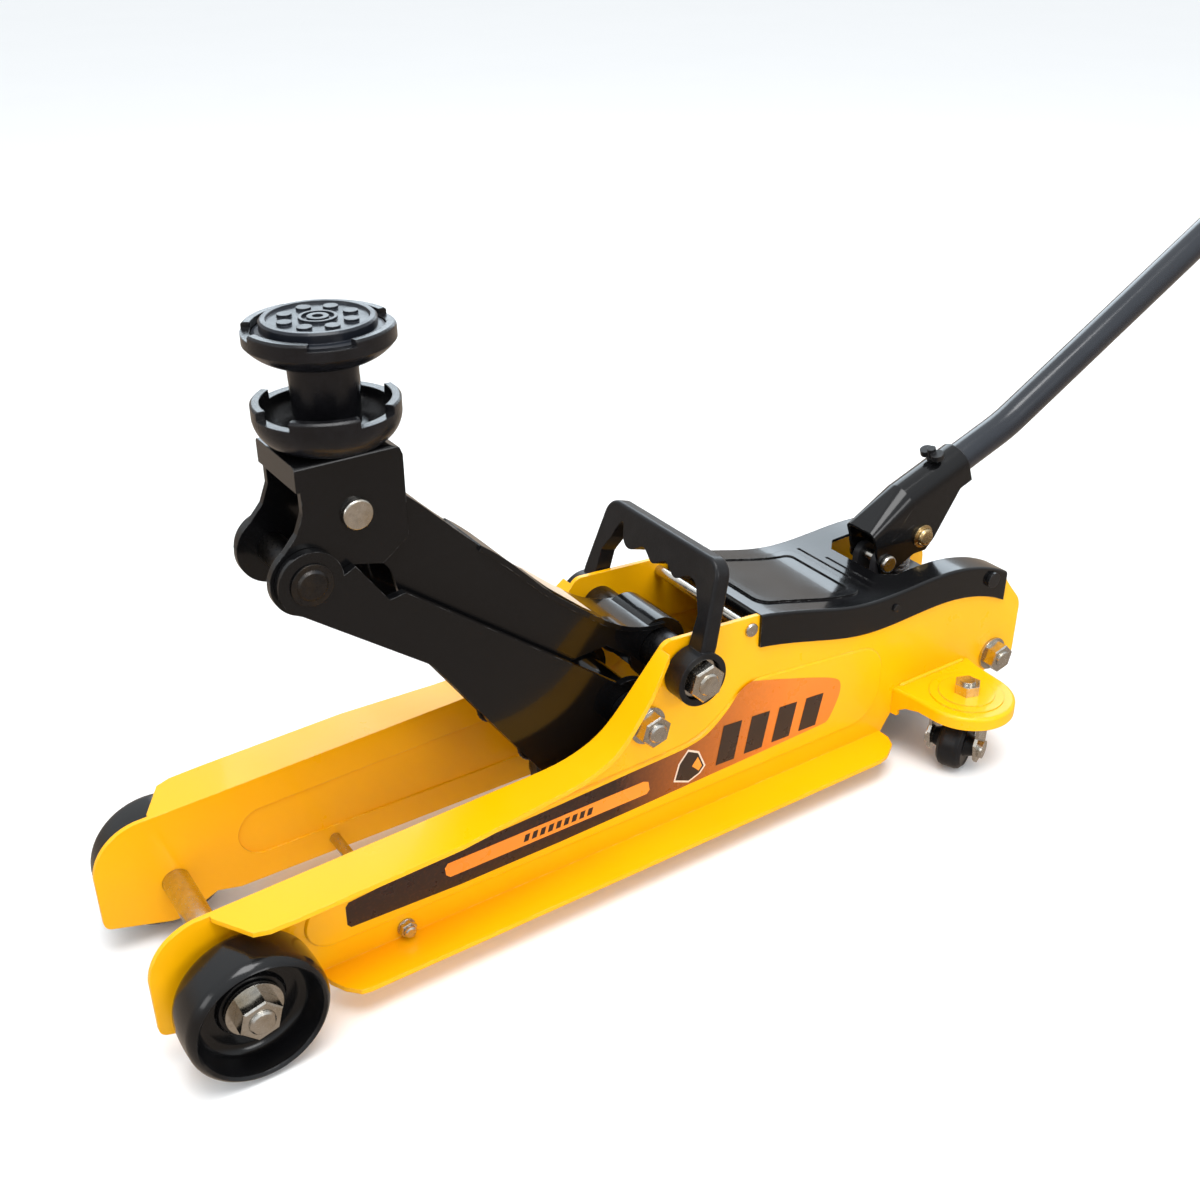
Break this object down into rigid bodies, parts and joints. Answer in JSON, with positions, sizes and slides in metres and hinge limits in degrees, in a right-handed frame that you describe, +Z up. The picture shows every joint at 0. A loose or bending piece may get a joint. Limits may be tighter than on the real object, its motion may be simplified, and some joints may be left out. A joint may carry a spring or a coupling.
{
  "type": "trolley jack",
  "caption": "Hydraulic trolley jack: low two-rail chassis on wheels and castors, parallelogram lift arm with padded turning saddle, pump lever, carry handle",
  "frame": {"origin": "middle of the bounding box in X and Y, on the floor under the wheels", "axes": "+Z up, +Y along the chassis towards the pump lever, +X towards the left side plate"},
  "size_m": [0.2254, 1.0571, 0.4357],
  "materials": {
    "yellow_paint": "gloss",
    "black_paint": "gloss",
    "lever_paint": "gloss",
    "black_plastic": "gloss",
    "castor_plastic": "satin",
    "handle_plastic": "satin",
    "grip_rubber": "matte",
    "pad_rubber": "matte",
    "zinc_steel": "satin",
    "gold_steel": "satin",
    "dark_steel": "satin",
    "black_steel": "satin",
    "spring_steel": "satin",
    "ram_steel": "polished",
    "block_iron": "painted",
    "cylinder_paint": "gloss",
    "black_iron": "painted satin"
  },
  "bodies": {
    "chassis": {"side_plate_left": "yellow_paint", "side_plate_right": "yellow_paint", "castor_ear_left": "yellow_paint", "castor_ear_right": "yellow_paint", "front_axle": "zinc_steel", "axle_nuts": "zinc_steel", "chassis_spacers": "dark_steel", "tie_rod": "zinc_steel", "tie_rod_nuts": "zinc_steel", "top_bar": "zinc_steel", "top_cover": "black_paint", "cover_bolts": "black_steel", "lift_pivot_shaft": "zinc_steel", "upper_pivot_shaft": "zinc_steel", "upper_pivot_nuts": "zinc_steel", "chassis_nuts": "zinc_steel", "rear_tie_bolt": "zinc_steel", "pump_block": "block_iron", "reservoir_tube": "cylinder_paint", "ram_cylinder": "ram_steel", "cylinder_head": "ram_steel", "block_plugs": "zinc_steel", "castor_kingpins": "zinc_steel", "castor_races": "dark_steel", "plunger_spring": "spring_steel", "return_springs": "spring_steel", "socket_pivot_pin": "zinc_steel"},
    "front_wheel_left": {"front_wheel_left": "black_plastic"},
    "front_wheel_right": {"front_wheel_right": "black_plastic"},
    "castor_fork_left": {"castor_fork_left": "zinc_steel", "castor_axle_left": "zinc_steel"},
    "castor_fork_right": {"castor_fork_right": "zinc_steel", "castor_axle_right": "zinc_steel"},
    "castor_wheel_left": {"castor_wheel_left": "castor_plastic"},
    "castor_wheel_right": {"castor_wheel_right": "castor_plastic"},
    "lift_arm": {"lift_arm_plate_left": "black_paint", "lift_arm_plate_right": "black_paint", "lift_arm_tubes": "black_paint", "link_pin": "dark_steel", "crank_pin": "dark_steel"},
    "upper_arm": {"upper_arm": "black_paint"},
    "saddle_bracket": {"saddle_bracket": "black_paint", "bracket_pin": "zinc_steel"},
    "saddle": {"lower_saddle": "black_iron"},
    "adaptor": {"saddle_adaptor": "black_iron", "rubber_pad": "pad_rubber"},
    "ram": {"ram_rod": "ram_steel", "crosshead": "dark_steel"},
    "socket": {"handle_socket": "black_paint", "roller_bolt": "gold_steel"},
    "roller": {"cam_roller": "dark_steel"},
    "thumb_screw": {"thumb_screw": "black_steel"},
    "valve_key": {"valve_key": "dark_steel"},
    "lever": {"lever_lower": "lever_paint", "lever_upper": "lever_paint", "lever_grip": "grip_rubber"},
    "plunger": {"pump_plunger": "ram_steel"},
    "release_valve": {"release_valve": "zinc_steel"},
    "carry_handle": {"carry_handle": "handle_plastic"}
  },
  "joints": [
    {"name": "front_wheel_left_spin", "type": "hinge", "parent": "chassis", "child": "front_wheel_left", "pos_m": [0.0692, -0.48643, 0.038], "axis": [1, 0, 0], "continuous": true},
    {"name": "front_wheel_right_spin", "type": "hinge", "parent": "chassis", "child": "front_wheel_right", "pos_m": [-0.0692, -0.48643, 0.038], "axis": [1, 0, 0], "continuous": true},
    {"name": "castor_swivel_left", "type": "hinge", "parent": "chassis", "child": "castor_fork_left", "pos_m": [0.0805, 0.01357, 0.044], "axis": [0, 0, 1], "continuous": true},
    {"name": "castor_swivel_right", "type": "hinge", "parent": "chassis", "child": "castor_fork_right", "pos_m": [-0.0805, 0.01357, 0.044], "axis": [0, 0, 1], "continuous": true},
    {"name": "castor_roll_left", "type": "hinge", "parent": "castor_fork_left", "child": "castor_wheel_left", "pos_m": [0.08416, 0.00535, 0.018], "axis": [-0.9135, -0.4067, 0], "continuous": true},
    {"name": "castor_roll_right", "type": "hinge", "parent": "castor_fork_right", "child": "castor_wheel_right", "pos_m": [-0.08416, 0.00535, 0.018], "axis": [0.9135, -0.4067, 0], "continuous": true},
    {"name": "lift", "type": "hinge", "parent": "chassis", "child": "lift_arm", "pos_m": [0, -0.22793, 0.099], "axis": [-1, 0, 0], "range_deg": [-43, 22]},
    {"name": "upper_link", "type": "hinge", "parent": "chassis", "child": "upper_arm", "pos_m": [0, -0.19943, 0.1275], "axis": [-1, 0, 0], "range_deg": [-43, 22]},
    {"name": "saddle_level", "type": "hinge", "parent": "lift_arm", "child": "saddle_bracket", "pos_m": [0, -0.41493, 0.2393], "axis": [-1, 0, 0], "range_deg": [-22, 43]},
    {"name": "saddle_swivel", "type": "hinge", "parent": "saddle_bracket", "child": "saddle", "pos_m": [0, -0.38643, 0.298], "axis": [0, 0, 1], "continuous": true},
    {"name": "adaptor_lift_out", "type": "slide", "parent": "saddle", "child": "adaptor", "axis": [0, 0, 1], "range_m": [0, 0.04]},
    {"name": "ram_stroke", "type": "slide", "parent": "chassis", "child": "ram", "axis": [0, -1, 0], "range_m": [-0.0458, 0.0235], "deforming": ["return_springs"]},
    {"name": "pump", "type": "hinge", "parent": "chassis", "child": "socket", "pos_m": [0, -0.00493, 0.126], "axis": [1, 0, 0], "range_deg": [0, 38]},
    {"name": "cam_roll", "type": "hinge", "parent": "socket", "child": "roller", "pos_m": [0, 0.02657, 0.138], "axis": [1, 0, 0], "continuous": true},
    {"name": "thumb_screw_turn", "type": "hinge", "parent": "socket", "child": "thumb_screw", "pos_m": [0, 0.048, 0.17269], "axis": [0, -0.342, 0.9397], "range_deg": [0, 360]},
    {"name": "valve_twist", "type": "hinge", "parent": "socket", "child": "valve_key", "pos_m": [0, 0.02357, 0.1638], "axis": [0, 0.9397, 0.342], "range_deg": [0, 90]},
    {"name": "lever_pull_out", "type": "slide", "parent": "valve_key", "child": "lever", "axis": [0, 0.9397, 0.342], "range_m": [0, 0.06]},
    {"name": "plunger_stroke", "type": "slide", "parent": "chassis", "child": "plunger", "axis": [0, 0, 1], "range_m": [0, 0.0169], "deforming": ["plunger_spring"]},
    {"name": "valve_turn", "type": "hinge", "parent": "chassis", "child": "release_valve", "pos_m": [0, -0.02143, 0.104], "axis": [0, 0, 1], "range_deg": [0, 90]},
    {"name": "carry_handle_tilt", "type": "hinge", "parent": "chassis", "child": "carry_handle", "pos_m": [0, -0.19943, 0.1275], "axis": [1, 0, 0], "range_deg": [-30, 10]}
  ],
  "couplings": [
    {"joint": "upper_link", "follows": "lift", "ratio": 1},
    {"joint": "saddle_level", "follows": "lift", "ratio": -1},
    {"joint": "ram_stroke", "follows": "lift", "m_per_rad": 0.061},
    {"joint": "plunger_stroke", "follows": "pump", "m_per_rad": 0.0254},
    {"joint": "valve_turn", "follows": "valve_twist", "ratio": 1}
  ]
}
